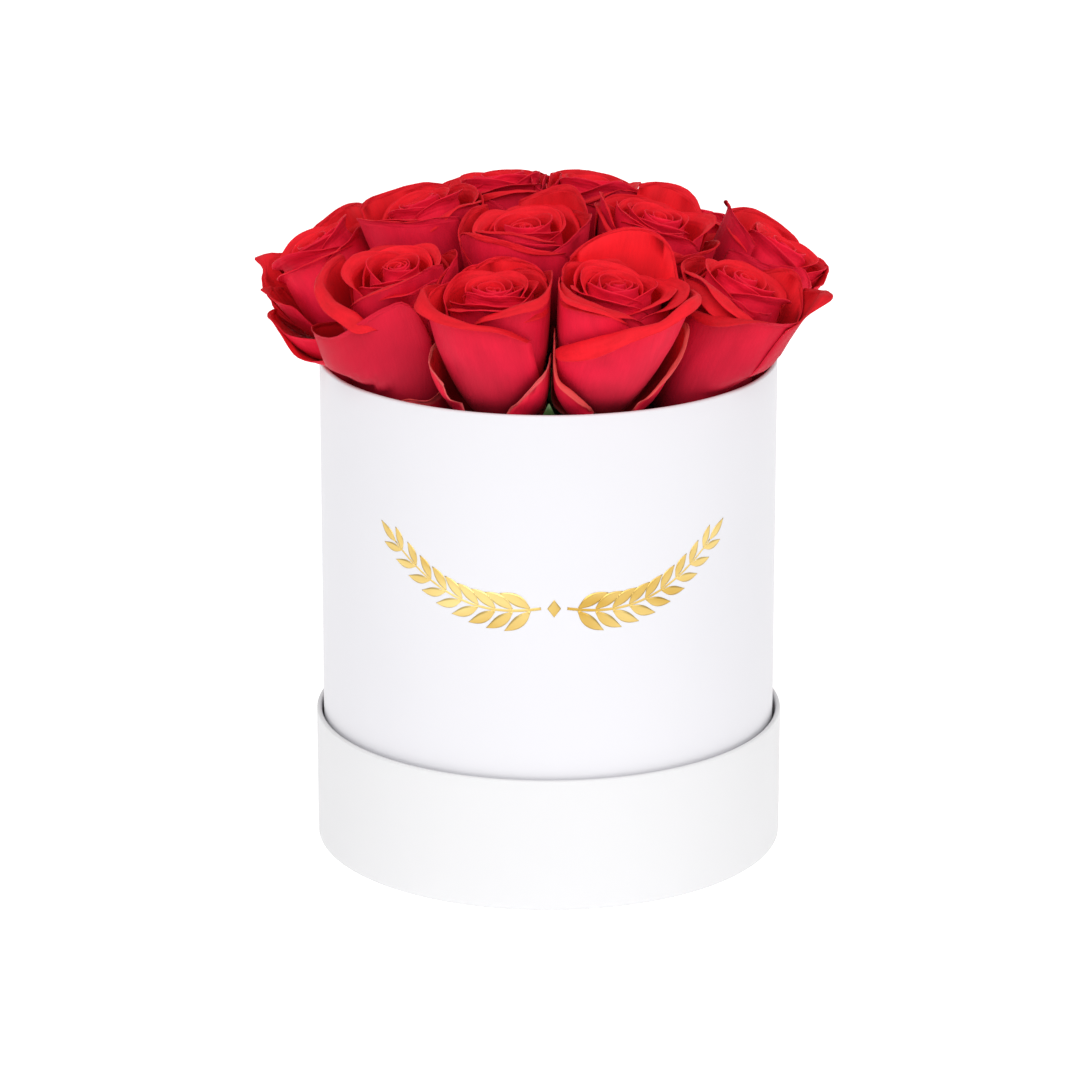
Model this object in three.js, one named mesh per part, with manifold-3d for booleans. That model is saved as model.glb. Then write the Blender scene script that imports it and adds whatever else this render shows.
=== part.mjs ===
// A round flower hat box. A white paper-covered tube stands in its own upturned lid, and a dome of
// fourteen red roses fills its mouth. The stems stand in a block of foam inside a thin plastic cup.
// Millimetres, +Z up. The origin is the middle of the lid's flat underside, and -Y is the front.

import * as THREE from 'three';
import { mergeVertices } from 'three/addons/utils/BufferGeometryUtils.js';
import Module from 'manifold-3d';

const wasm = await Module();
wasm.setup();

// Box and lid
const TUBE_R = 90;
const BOARD = 2;
const RIM_Z = 198;
const LID_R = 93;
const LID_HEIGHT = 53.3;
const TOUCH = 0.3;
const ROUND_SIDES = 64;

// What fills the box
const CUP_R = 87.3;
const CUP_WALL = 0.8;
const CUP_TOP_Z = 166;
const FOAM_R = 86;
const FOAM_TOP_Z = 152;
const INNER_SIDES = 44;

// Roses: the azimuth, distance out and height of the head's foot, how far it leans and towards which
// azimuth, the turn of its whorls, its size and how far it has opened. Azimuth 0 is the front, growing
// to the right.
const ROSES = [
  { name: 'a', azimuth: -53, reach: 64, foot: 188, lean: 13, toward: -28, turn: 32, size: 1.03, open: 1.15 },
  { name: 'b', azimuth: -16, reach: 67, foot: 186, lean: 7, toward: -22, turn: 0, size: 1, open: 0.96 },
  { name: 'c', azimuth: 16, reach: 67, foot: 189, lean: 11, toward: 46, turn: 40, size: 1.03, open: 1.02 },
  { name: 'd', azimuth: 53, reach: 63, foot: 182, lean: 27, toward: 82, turn: 80, size: 1.03, open: 1.1 },
  { name: 'e', azimuth: 94, reach: 61, foot: 187, lean: 31, toward: 92, turn: 10, size: 1.02, open: 1 },
  { name: 'f', azimuth: 136, reach: 63, foot: 187, lean: 18, toward: 136, turn: 50, size: 1.02, open: 1 },
  { name: 'g', azimuth: 178, reach: 63, foot: 188, lean: 18, toward: 178, turn: 90, size: 1.02, open: 1 },
  { name: 'h', azimuth: -138, reach: 63, foot: 188, lean: 18, toward: -138, turn: 30, size: 1.02, open: 1 },
  { name: 'i', azimuth: -97, reach: 61, foot: 187, lean: 30, toward: -92, turn: 60, size: 1.03, open: 1.05 },
  { name: 'j', azimuth: -17, reach: 24, foot: 200, lean: 7, toward: -20, turn: 15, size: 1.03, open: 1 },
  { name: 'k', azimuth: 72, reach: 32, foot: 199, lean: 13, toward: 72, turn: 45, size: 1.03, open: 0.95 },
  { name: 'l', azimuth: 146, reach: 24, foot: 202, lean: 9, toward: 150, turn: 75, size: 1.04, open: 1 },
  { name: 'm', azimuth: -146, reach: 28, foot: 201, lean: 9, toward: -150, turn: 5, size: 1.04, open: 1 },
  { name: 'n', azimuth: -89, reach: 36, foot: 200, lean: 15, toward: -98, turn: 51, size: 1.04, open: 1.05 },
];
const HEAD_HEIGHT = 60;
const PETALS = 24;

// A head in the solids: a closed heart of rings, with three whorls of petals that grow out of it. Each
// whorl starts where its petals' outer and inner faces leave the heart, at two rings close together.
const SECTORS = 15;
const HEART = [[4.5, -1], [15, 2.5]];
const WHORLS = [
  { petals: [19, 20, 21, 22, 23], root: [[22, 9], [21.2, 9.8]], above: [[15.5, 14]], rows: 3 },
  { petals: [14, 15, 16], root: [[12.4, 22], [11.6, 22.6]], above: [[8.2, 26]], rows: 2 },
  { petals: [8, 9], root: [[6.6, 34], [5.9, 34.5]], above: [[4.2, 38], [3.2, 50]], rows: 2 },
];
const HEART_LOW = -1;
const HEART_TOP = 54;
const EDGE_GAP = 3;
const EASY_SHARE = 0.8;
const TIGHT_SHARE = 1.3;
const TIGHT_CURL = 0.25;
const BLADE = 0.7;
const ROOT_R = 3;

// The room that each head has: a half space towards every other head, and the box's rim
const RIM_KEEP = 86.2;
const RIM_LIFT = 1.2;
const RIM_SLOPE = 2.6;
const RIM_FACES = 5;
const RIM_FACE_STEP = 18;
const FREE_SHARE = 0.72;
const FULL_SHARE = 0.965;
const BLEND_POWER = 6;
const FAR = 1e6;
const RIM_GAP = 0.5;
const RIM_MARGIN = 1;

// Stems and calyxes
const STEM_R = 2.6;
const HOLE_SIDES = 8;
const STEM_END_Z = 84;
const HOLE_R = 3.3;
const HOLE_END_Z = 83;
const HOLE_PAST_BEND = 10;
const HIP_LOW = [[2.8, -9], [4.4, -6.5]];
const HIP_ROOT = [[5.2, -3.2], [5, -2.4]];
const HIP_TOP = [4.2, 0];
const BEND_DROP = 20;
const STEM_LEAN_SHARE = 0.4;
const SEPALS = 5;
const SEPAL_LINE = [[10.5, -4.5, 2.4], [14, -13, 0.4]];

const UP = new THREE.Vector3(0, 0, 1);
const MERGE_WITHIN = 1e-4;
const SIMPLIFY_WITHIN = 0.02;

const whiteBoard = new THREE.MeshStandardMaterial({ name: 'white_board', color: 0xf8f7fc, roughness: 0.35 });
const greyBoard = new THREE.MeshStandardMaterial({ name: 'inner_board', color: 0xe6e4e0, roughness: 0.8 });
const petalRed = new THREE.MeshStandardMaterial({ name: 'petal_red', color: 0xd81c2a, roughness: 0.55 });
const stemGreen = new THREE.MeshStandardMaterial({ name: 'stem_green', color: 0x37602c, roughness: 0.6 });
const foamGreen = new THREE.MeshStandardMaterial({ name: 'foam_green', color: 0x2f5a41, roughness: 0.95 });
const clearFilm = new THREE.MeshStandardMaterial({ name: 'liner_film', color: 0xe8eef0, roughness: 0.2 });

const arrangement = new THREE.Group();

function addPiece(name, geometry, material) {
  const mesh = new THREE.Mesh(geometry, material);
  mesh.name = name;
  arrangement.add(mesh);
}

// A repeatable number from 0 to 1 for these keys
function chance(...keys) {
  const sum = keys.reduce((total, key, k) => total + (key + 1) * (12.9898 + 65.233 * k), 0);
  const wave = Math.sin(sum) * 43758.5453;
  return wave - Math.floor(wave);
}

function smooth(x) {
  const t = THREE.MathUtils.clamp(x, 0, 1);
  return t * t * (3 - 2 * t);
}

// The value at t on the straight lines through the stops, each a place and a value
function ramp(t, ...stops) {
  for (let k = 1; k < stops.length; k += 1) {
    const [x0, y0] = stops[k - 1];
    const [x1, y1] = stops[k];
    if (t <= x1) return y0 + ((y1 - y0) * Math.max(0, t - x0)) / (x1 - x0);
  }
  return stops[stops.length - 1][1];
}

// A closed three.js geometry as a solid: only positions, shared vertices merged, no flat triangles
function solidOf(geometry) {
  const bare = geometry.clone();
  bare.deleteAttribute('normal');
  bare.deleteAttribute('uv');
  const merged = mergeVertices(bare, MERGE_WITHIN);
  const corners = [];
  for (let k = 0; k < merged.index.count; k += 3) {
    const [a, b, c] = [0, 1, 2].map((n) => merged.index.getX(k + n));
    if (a !== b && b !== c && c !== a) corners.push(a, b, c);
  }
  const mesh = new wasm.Mesh({
    numProp: 3,
    vertProperties: new Float32Array(merged.attributes.position.array),
    triVerts: new Uint32Array(corners),
  });
  return new wasm.Manifold(mesh);
}

function geometryOf(solid) {
  const mesh = solid.getMesh();
  const geometry = new THREE.BufferGeometry();
  geometry.setAttribute('position', new THREE.BufferAttribute(new Float32Array(mesh.vertProperties), 3));
  geometry.setIndex(Array.from(mesh.triVerts));
  return geometry;
}

// The largest body of a solid: crumbs that a cut leaves loose are dropped
function largestBody(solid) {
  const bodies = solid.decompose();
  bodies.sort((one, other) => other.volume() - one.volume());
  return bodies[0].simplify(SIMPLIFY_WITHIN);
}

// A body of revolution about Z through [radius, height] points, from the axis to the axis
function turned(points, sides) {
  const profile = points.map(([radius, height]) => new THREE.Vector2(radius, height));
  const lathe = new THREE.LatheGeometry(profile, sides);
  lathe.rotateX(Math.PI / 2);
  return solidOf(lathe);
}

// A closed body of rings joined from the bottom up, out of which whorls of thin blades grow. Every ring
// has one point per sector. A blade's outer face leaves the body at one ring and its inner face at the
// ring just above, so no blade crosses the body.
class RingBody {
  constructor(sectors) {
    this.sectors = sectors;
    this.vertices = [];
    this.corners = [];
    this.last = null;
  }

  add(point) {
    this.vertices.push(point.x, point.y, point.z);
    return this.vertices.length / 3 - 1;
  }

  quad(a, b, c, d) {
    this.corners.push(a, b, c, a, c, d);
  }

  start(centre, points) {
    const middle = this.add(centre);
    this.last = points.map((point) => this.add(point));
    this.last.forEach((corner, k) => this.corners.push(middle, this.last[(k + 1) % this.sectors], corner));
  }

  ring(points) {
    const next = points.map((point) => this.add(point));
    this.last.forEach((corner, k) => {
      const beside = (k + 1) % this.sectors;
      this.quad(corner, this.last[beside], next[beside], next[k]);
    });
    this.last = next;
  }

  end(centre) {
    const middle = this.add(centre);
    this.last.forEach((corner, k) => this.corners.push(middle, corner, this.last[(k + 1) % this.sectors]));
  }

  // blades: each the sector it starts at and its rows of points above the root, across from that sector
  whorl(outsidePoints, insidePoints, blades) {
    this.ring(outsidePoints);
    const outside = this.last;
    const inside = insidePoints.map((point) => this.add(point));
    for (const { from, rows } of blades) {
      const columns = rows[0].map((_, k) => (from + k) % this.sectors);
      const sheet = [columns.map((k) => outsidePoints[k]), ...rows];
      this.blade(sheet, columns.map((k) => outside[k]), columns.map((k) => inside[k]));
    }
    this.last = inside;
  }

  blade(sheet, outsideRoot, insideRoot) {
    const end = sheet[0].length - 1;
    const top = sheet.length - 1;
    const outer = [outsideRoot];
    const inner = [insideRoot];
    for (let row = 1; row <= top; row += 1) {
      const shifted = (half) => sheet[row].map((point, k) => {
        const across = sheet[row][Math.min(k + 1, end)].clone().sub(sheet[row][Math.max(k - 1, 0)]);
        const along = sheet[Math.min(row + 1, top)][k].clone().sub(sheet[row - 1][k]);
        return this.add(point.clone().addScaledVector(across.cross(along).normalize(), half));
      });
      outer.push(shifted(BLADE / 2));
      inner.push(shifted(-BLADE / 2));
    }
    for (let row = 0; row < top; row += 1) {
      for (let k = 0; k < end; k += 1) {
        this.quad(outer[row][k], outer[row][k + 1], outer[row + 1][k + 1], outer[row + 1][k]);
        this.corners.push(inner[row][k], inner[row + 1][k + 1], inner[row][k + 1]);
        this.corners.push(inner[row][k], inner[row + 1][k], inner[row + 1][k + 1]);
      }
      this.quad(outer[row][0], outer[row + 1][0], inner[row + 1][0], inner[row][0]);
      this.quad(outer[row + 1][end], outer[row][end], inner[row][end], inner[row + 1][end]);
    }
    for (let k = 0; k < end; k += 1) {
      this.quad(outer[top][k], outer[top][k + 1], inner[top][k + 1], inner[top][k]);
    }
  }

  solid() {
    const geometry = new THREE.BufferGeometry();
    geometry.setAttribute('position', new THREE.Float32BufferAttribute(this.vertices, 3));
    geometry.setIndex(this.corners);
    return solidOf(geometry);
  }
}

// The level direction at an azimuth round the box
function outward(azimuth) {
  const angle = THREE.MathUtils.degToRad(azimuth);
  return new THREE.Vector3(Math.sin(angle), -Math.cos(angle), 0);
}

// A head's own frame: its foot, its axis and crown, and two directions across
function frameOf(rose, index) {
  const lean = THREE.MathUtils.degToRad(rose.lean);
  const toward = outward(rose.toward);
  const axis = toward.clone().multiplyScalar(Math.sin(lean)).addScaledVector(UP, Math.cos(lean));
  const across = new THREE.Vector3().crossVectors(UP, toward);
  const back = new THREE.Vector3().crossVectors(axis, across);
  const foot = outward(rose.azimuth).multiplyScalar(rose.reach).addScaledVector(UP, rose.foot);
  const crown = foot.clone().addScaledVector(axis, HEAD_HEIGHT);
  return { ...rose, seed: index + 1, toward, axis, across, back, foot, crown };
}

const frames = ROSES.map(frameOf);

// The half spaces that bound a head's room. Where a wall has two choices, the wider one counts.
function wallsOf(frame) {
  const walls = frames.filter((other) => other !== frame).map((other) => {
    const share = frame.size / (frame.size + other.size);
    const low = frame.foot.clone().lerp(other.foot, share);
    const high = frame.crown.clone().lerp(other.crown, share);
    const along = high.sub(low).normalize();
    const normal = other.crown.clone().sub(frame.crown);
    normal.addScaledVector(along, -normal.dot(along)).normalize();
    return [{ normal, point: low }];
  });
  const middle = (RIM_FACES - 1) / 2;
  for (let k = -middle; k <= middle; k += 1) {
    const out = outward(frame.azimuth + k * RIM_FACE_STEP);
    const point = out.clone().multiplyScalar(RIM_KEEP).addScaledVector(UP, RIM_Z + RIM_LIFT);
    const sloped = out.clone().addScaledVector(UP, -RIM_SLOPE).normalize();
    walls.push([{ normal: out, point }, { normal: sloped, point }]);
  }
  return walls;
}

// The part of the head's room, from its axis to its walls, that a point takes: 1 is on a wall
function roomShare(centre, spoke, walls) {
  let sum = 0;
  for (const choices of walls) {
    let nearest = FAR;
    for (const { normal, point } of choices) {
      const room = point.clone().sub(centre).dot(normal);
      if (room > 1) nearest = Math.min(nearest, Math.max(0, spoke.dot(normal)) / room);
    }
    if (nearest < FAR) sum += nearest ** BLEND_POWER;
  }
  return sum ** (1 / BLEND_POWER);
}

// Draws a point in towards the head's axis, so that heads press flat against each other and the rim
function squeeze(point, frame, walls) {
  const height = point.clone().sub(frame.foot).dot(frame.axis);
  const centre = frame.foot.clone().addScaledVector(frame.axis, height);
  const spoke = point.clone().sub(centre);
  const share = roomShare(centre, spoke, walls);
  if (share <= FREE_SHARE) return point;
  const spare = FULL_SHARE - FREE_SHARE;
  const kept = FREE_SHARE + spare * Math.tanh((share - FREE_SHARE) / spare);
  return centre.addScaledVector(spoke, kept / share);
}

// A petal folds out freely where it has room, and stands up where it is pressed against a neighbour
function foldShare(petal, frame, walls, angle) {
  const height = petal.length * petal.lip * 0.7 * frame.size;
  const centre = frame.foot.clone().addScaledVector(frame.axis, height);
  const spoke = frame.across.clone().multiplyScalar(Math.cos(angle))
    .addScaledVector(frame.back, Math.sin(angle)).multiplyScalar(petal.radius * frame.size);
  const share = roomShare(centre, spoke, walls);
  return ramp(share, [EASY_SHARE, 1], [TIGHT_SHARE, TIGHT_CURL]);
}

// The measures of petal i, from 0 in the bud's heart to the last outside
function petalMeasures(frame, i) {
  const t = i / (PETALS - 1);
  const drift = (key, amount) => amount * (2 * chance(frame.seed, i, key) - 1);
  return {
    radius: ramp(t, [0, 2.4], [0.3, 9.5], [0.6, 15], [0.7, 16.5], [0.8, 21.5], [1, 25]),
    bowl: ramp(t, [0, 0.7], [0.4, 1.25], [1, 1.65]),
    length: ramp(t, [0, 56], [0.3, 58.5], [0.5, 67], [0.7, 70], [1, 66]) + drift(2, 1),
    top: ramp(t, [0, -0.3], [0.3, -0.22], [0.55, -0.16], [0.75, -0.05], [1, 0.1]) + drift(9, 0.05),
    half: ramp(t, [0, 9], [0.3, 17], [0.6, 22], [1, 27]) + drift(3, 1.2),
    curl: ramp(t, [0, 0.1], [0.5, 0.4], [0.72, 0.65], [0.82, 1.5], [1, 1.9]) + drift(4, 0.25 * t),
    lip: ramp(t, [0, 0.9], [0.5, 0.87], [1, 0.81]) + drift(5, 0.02),
    slant: drift(6, 0.06),
    round: ramp(t, [0, 0.22], [0.5, 0.22], [1, 0.26]),
    tuck: ramp(t, [0, 1], [0.5, 1.2], [1, 1.4]),
    edge: ramp(t, [0, 0], [0.7, 0], [1, 3]),
    wave: ramp(t, [0, 0.1], [0.5, 0.4], [1, 1.2]),
    phase: 2 * Math.PI * chance(frame.seed, i, 7),
    skew: drift(8, 0.3),
    point: ramp(t, [0, 0], [0.5, 1.5], [1, 3.5]) * (0.4 + 1.2 * chance(frame.seed, i, 10)),
  };
}

const PROFILE_STEPS = 32;
const CREASE = 0.1;
const MOST_CURL = 1.8;
const CUP_STATION = 0.5;

// How far out and how high the petal's line at u runs, one place for each profile step: first round
// the bowl of the cup, then up its side, and over the lip
function petalProfile(petal, u, open) {
  const side = Math.abs(u);
  const length = petal.length * (1 - petal.round * side ** 3.4) + petal.point * (1 - side) ** 3;
  const step = length / PROFILE_STEPS;
  const bowlShare = ((petal.radius - ROOT_R) * petal.bowl) / (1 - Math.cos(petal.bowl)) / petal.length;
  const fold = 1 + 0.2 * side ** 2 + petal.skew * u;
  const lip = petal.lip - petal.slant * u;
  const line = [new THREE.Vector2(ROOT_R, 0)];
  for (let k = 0; k < PROFILE_STEPS; k += 1) {
    const v = (k + 0.5) / PROFILE_STEPS;
    const lean = petal.bowl * Math.max(0, 1 - v / bowlShare)
      + petal.top * open * smooth((v - 0.45) / 0.4)
      + Math.min(MOST_CURL, petal.curl * fold) * smooth((v - lip) / CREASE);
    const last = line[k];
    line.push(new THREE.Vector2(last.x + step * Math.sin(lean), last.y + step * Math.cos(lean)));
  }
  return line;
}

// How far out and how high the petal stands at u across and v along
function petalPoint(petal, line, u, v) {
  const place = v * PROFILE_STEPS;
  const k = Math.min(PROFILE_STEPS - 1, Math.floor(place));
  const { x, y } = line[k].clone().lerp(line[k + 1], place - k);
  const up = smooth((v - 0.25) / 0.6);
  const stand = petal.tuck * u + petal.edge * u ** 4 + petal.wave * Math.sin(2.6 * u + petal.phase);
  const lift = 0.6 * petal.wave * Math.cos(4.1 * u + 1.7 * petal.phase);
  return { radius: x + stand * up, height: y + lift * up };
}

// A point of the head's own frame, set into the world and squeezed into the head's room
function placed(point, frame, walls) {
  const world = frame.foot.clone()
    .addScaledVector(frame.across, point.x * frame.size)
    .addScaledVector(frame.back, point.y * frame.size)
    .addScaledVector(frame.axis, point.z * frame.size);
  return squeeze(world, frame, walls);
}

function onCone(radius, height, angle) {
  return new THREE.Vector3(radius * Math.cos(angle), radius * Math.sin(angle), height);
}

// The rows of petal i above its root, each a list of points across at the given angles
function petalRows(frame, walls, i, angles, rowCount) {
  const petal = petalMeasures(frame, i);
  const stations = rowCount === 3 ? [CUP_STATION, petal.lip, 1] : [petal.lip, 1];
  const middle = (angles[0] + angles[angles.length - 1]) / 2;
  const inset = 1 - THREE.MathUtils.degToRad(EDGE_GAP) / (angles[angles.length - 1] - middle);
  petal.curl *= foldShare(petal, frame, walls, middle);
  return stations.map((v) => angles.map((angle) => {
    const away = (angle - middle) * inset;
    const u = (away * petal.radius) / petal.half;
    const { radius, height } = petalPoint(petal, petalProfile(petal, u, frame.open), u, v);
    return onCone(radius, height, middle + away);
  }));
}

// The tube's wall with the gap that the heads keep to it, which is cut from every head
const rimOutside = TUBE_R + RIM_MARGIN;
const rimInside = TUBE_R - BOARD - RIM_GAP;
const rimRoom = turned([
  [0, 0], [rimOutside, 0], [rimOutside, RIM_Z + TOUCH], [rimInside, RIM_Z + TOUCH],
  [rimInside, RIM_MARGIN], [0, RIM_MARGIN],
], ROUND_SIDES);

function roseSolid(frame) {
  const walls = wallsOf(frame);
  const step = (2 * Math.PI) / SECTORS;
  const angleOf = (sector) => THREE.MathUtils.degToRad(frame.turn) + (sector - 1.5) * step;
  const set = (point) => placed(point, frame, walls);
  const ringAt = ([radius, height]) => (
    Array.from({ length: SECTORS }, (_, k) => set(onCone(radius, height, angleOf(k))))
  );
  const head = new RingBody(SECTORS);
  head.start(set(new THREE.Vector3(0, 0, HEART_LOW)), ringAt(HEART[0]));
  HEART.slice(1).forEach((place) => head.ring(ringAt(place)));
  for (const { petals, root, above, rows } of WHORLS) {
    const firstSector = (n) => Math.round((n * SECTORS) / petals.length);
    const blades = petals.map((i, n) => {
      const from = firstSector(n);
      const angles = Array.from({ length: firstSector(n + 1) - from + 1 }, (_, k) => angleOf(from + k));
      return { from, rows: petalRows(frame, walls, i, angles, rows).map((row) => row.map(set)) };
    });
    head.whorl(ringAt(root[0]), ringAt(root[1]), blades);
    above.forEach((place) => head.ring(ringAt(place)));
  }
  head.end(set(new THREE.Vector3(0, 0, HEART_TOP)));
  return largestBody(head.solid().subtract(rimRoom));
}

// The lid, upturned under the box, and the box that stands in it
const lidWallR = LID_R - BOARD;
addPiece('lid_band', geometryOf(turned([
  [lidWallR, 0], [LID_R, 0], [LID_R, LID_HEIGHT], [lidWallR, LID_HEIGHT], [lidWallR, 0],
], ROUND_SIDES)), whiteBoard);
addPiece('lid_disc', geometryOf(turned([
  [0, 0], [lidWallR - TOUCH, 0], [lidWallR - TOUCH, BOARD], [0, BOARD],
], ROUND_SIDES)), whiteBoard);

const boxZ = BOARD + TOUCH;
const tubeWallR = TUBE_R - BOARD;
addPiece('box_tube', geometryOf(turned([
  [tubeWallR, boxZ], [TUBE_R, boxZ], [TUBE_R, RIM_Z], [tubeWallR, RIM_Z], [tubeWallR, boxZ],
], ROUND_SIDES)), whiteBoard);
addPiece('box_floor', geometryOf(turned([
  [0, boxZ], [tubeWallR - TOUCH, boxZ], [tubeWallR - TOUCH, boxZ + BOARD], [0, boxZ + BOARD],
], ROUND_SIDES)), greyBoard);

const cupZ = boxZ + BOARD + TOUCH;
addPiece('liner_cup', geometryOf(turned([
  [0, cupZ], [CUP_R, cupZ], [CUP_R, CUP_TOP_Z], [CUP_R - CUP_WALL, CUP_TOP_Z],
  [CUP_R - CUP_WALL, cupZ + CUP_WALL], [0, cupZ + CUP_WALL],
], INNER_SIDES)), clearFilm);

// A stem leaves its head's foot along the head's axis, bends and runs straight down into the foam
function stemCurve(frame) {
  const top = frame.foot.clone().addScaledVector(frame.axis, HEART_LOW - TOUCH);
  const bend = top.clone().addScaledVector(frame.axis, -BEND_DROP);
  const lean = THREE.MathUtils.degToRad(frame.lean * STEM_LEAN_SHARE);
  const run = frame.toward.clone().multiplyScalar(Math.sin(lean)).addScaledVector(UP, Math.cos(lean));
  return { top, bend, run, end: bend.clone().addScaledVector(run, -(bend.z - STEM_END_Z) / run.z) };
}

function rod(from, to, radius, sides) {
  const outline = new THREE.Shape();
  for (let k = 0; k < sides; k += 1) {
    const angle = (2 * Math.PI * k) / sides;
    const [x, y] = [radius * Math.cos(angle), radius * Math.sin(angle)];
    if (k === 0) outline.moveTo(x, y);
    else outline.lineTo(x, y);
  }
  const path = new THREE.LineCurve3(from, to);
  return solidOf(new THREE.ExtrudeGeometry(outline, { steps: 1, extrudePath: path }));
}

// Stem and hip in one body, from the cut end up through the bend to the head's foot, with the sepals
function stemSolid(frame) {
  const { top, bend, run, end } = stemCurve(frame);
  const step = (2 * Math.PI) / SEPALS;
  const ringAt = (centre, normal, radius) => {
    const back = new THREE.Vector3().crossVectors(normal, frame.across);
    return Array.from({ length: SEPALS }, (_, k) => (
      centre.clone().addScaledVector(frame.across, radius * Math.cos(k * step))
        .addScaledVector(back, radius * Math.sin(k * step))
    ));
  };
  const hipRing = ([radius, drop]) => (
    ringAt(top.clone().addScaledVector(frame.axis, drop), frame.axis, radius)
  );
  const blades = Array.from({ length: SEPALS }, (_, from) => {
    const angle = (from + 0.5) * step;
    const out = frame.across.clone().multiplyScalar(Math.cos(angle))
      .addScaledVector(frame.back, Math.sin(angle));
    const side = new THREE.Vector3().crossVectors(frame.axis, out);
    const rows = SEPAL_LINE.map(([away, drop, width]) => [-1, 1].map((u) => (
      top.clone().addScaledVector(out, away).addScaledVector(side, u * width)
        .addScaledVector(frame.axis, drop)
    )));
    return { from, rows };
  });
  const body = new RingBody(SEPALS);
  body.start(end, ringAt(end, run, STEM_R));
  body.ring(ringAt(bend, run, STEM_R));
  HIP_LOW.forEach((place) => body.ring(hipRing(place)));
  body.whorl(hipRing(HIP_ROOT[0]), hipRing(HIP_ROOT[1]), blades);
  body.ring(hipRing(HIP_TOP));
  body.end(top);
  return body.solid();
}

const holes = frames.map((frame) => {
  const { bend, run } = stemCurve(frame);
  const low = bend.clone().addScaledVector(run, -(bend.z - HOLE_END_Z) / run.z);
  const high = bend.clone().addScaledVector(run, HOLE_PAST_BEND);
  return rod(low, high, HOLE_R, HOLE_SIDES);
});
const foamZ = cupZ + CUP_WALL + TOUCH;
const block = turned([[0, foamZ], [FOAM_R, foamZ], [FOAM_R, FOAM_TOP_Z], [0, FOAM_TOP_Z]], INNER_SIDES);
addPiece('foam', geometryOf(block.subtract(wasm.Manifold.union(holes))), foamGreen);

for (const frame of frames) {
  addPiece(`rose_${frame.name}`, geometryOf(roseSolid(frame)), petalRed);
  addPiece(`stem_${frame.name}`, geometryOf(stemSolid(frame)), stemGreen);
}

export default arrangement;
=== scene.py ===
import math

import bpy
import numpy as np
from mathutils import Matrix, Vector


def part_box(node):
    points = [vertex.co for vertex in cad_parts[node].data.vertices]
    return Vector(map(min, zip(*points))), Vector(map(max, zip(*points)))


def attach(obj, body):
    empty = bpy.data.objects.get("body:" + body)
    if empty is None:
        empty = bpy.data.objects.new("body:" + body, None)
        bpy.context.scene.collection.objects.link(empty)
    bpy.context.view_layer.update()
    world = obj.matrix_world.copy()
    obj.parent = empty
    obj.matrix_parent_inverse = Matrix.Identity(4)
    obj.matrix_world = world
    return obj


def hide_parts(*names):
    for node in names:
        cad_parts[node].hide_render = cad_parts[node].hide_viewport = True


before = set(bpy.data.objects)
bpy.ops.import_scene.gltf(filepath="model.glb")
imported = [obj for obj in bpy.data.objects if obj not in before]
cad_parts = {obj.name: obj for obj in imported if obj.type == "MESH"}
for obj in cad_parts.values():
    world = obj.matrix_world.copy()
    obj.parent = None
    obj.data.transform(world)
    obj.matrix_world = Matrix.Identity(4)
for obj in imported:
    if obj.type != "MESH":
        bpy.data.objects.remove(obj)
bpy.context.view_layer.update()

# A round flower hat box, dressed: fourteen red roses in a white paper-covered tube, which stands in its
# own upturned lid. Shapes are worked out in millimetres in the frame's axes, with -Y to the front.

MM = 0.001
UP = np.array([0.0, 0.0, 1.0])

# Box and lid, measured on the frame
TUBE_LOW, TUBE_HIGH = [np.array(corner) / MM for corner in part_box("box_tube")]
LID_HIGH = np.array(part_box("lid_band")[1]) / MM
TUBE_R = TUBE_HIGH[0]
RIM_Z = TUBE_HIGH[2]
LID_R = LID_HIGH[0]
LID_HEIGHT = LID_HIGH[2]
BOARD = 2.0
ROUND_SIDES = 256

# Roses: the azimuth, distance out and height of the head's foot, how far it leans and towards which
# azimuth, the turn of its whorls, its size, how far it has opened and how much lower its bud's petals
# end. Azimuth 0 is the front, growing to the right.
ROSE_FIELDS = ("name", "azimuth", "reach", "foot", "lean", "toward", "turn", "size", "open", "low")
ROSES = (
    ("a", -53, 64, 188, 13, -28, 32, 1.03, 1.15, 3),
    ("b", -16, 67, 186, 7, -22, 0, 1.0, 0.96, 4),
    ("c", 16, 67, 189, 11, 46, 40, 1.03, 1.02, 6),
    ("d", 53, 63, 182, 24, 82, 80, 1.03, 1.1, 0),
    ("e", 94, 61, 187, 31, 92, 10, 1.02, 1.0, 0),
    ("f", 136, 63, 187, 18, 136, 50, 1.02, 1.0, 4),
    ("g", 178, 63, 188, 18, 178, 90, 1.02, 1.0, 0),
    ("h", -138, 63, 188, 18, -138, 30, 1.02, 1.0, 0),
    ("i", -97, 61, 187, 30, -92, 60, 1.03, 1.05, 0),
    ("j", -17, 24, 200, 7, -20, 15, 1.03, 1.0, 5),
    ("k", 72, 32, 199, 13, 72, 45, 1.03, 0.95, 3),
    ("l", 146, 24, 202, 9, 150, 75, 1.04, 1.0, 4),
    ("m", -146, 28, 201, 9, -150, 5, 1.04, 1.0, 2),
    ("n", -89, 36, 200, 15, -98, 51, 1.04, 1.05, 3),
)
RING_REACH = 50
HEAD_HEIGHT = 60
PETALS = 24
GUARDS = 3
PETAL_THICK = 0.32
ROOT_R = 3
GRAIN_LENGTH = 52

# The room that each head has: a half space towards every other head, and the box's rim
RIM_KEEP = 86.2
RIM_LIFT = 1.2
RIM_SLOPE = 5
RIM_FACES = 5
RIM_FACE_STEP = 18
FULL_SHARE = 1.0
LAYER_SHARE = 0.011
PRESS_SPAN = 0.22
BLEND_POWER = 6
EASY_SHARE = 0.8
TIGHT_SHARE = 1.3
TIGHT_CURL = 0.4
FOLD_AT = 0.7
LEAST_ROOM = 1
TINY = 1e-9


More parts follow.
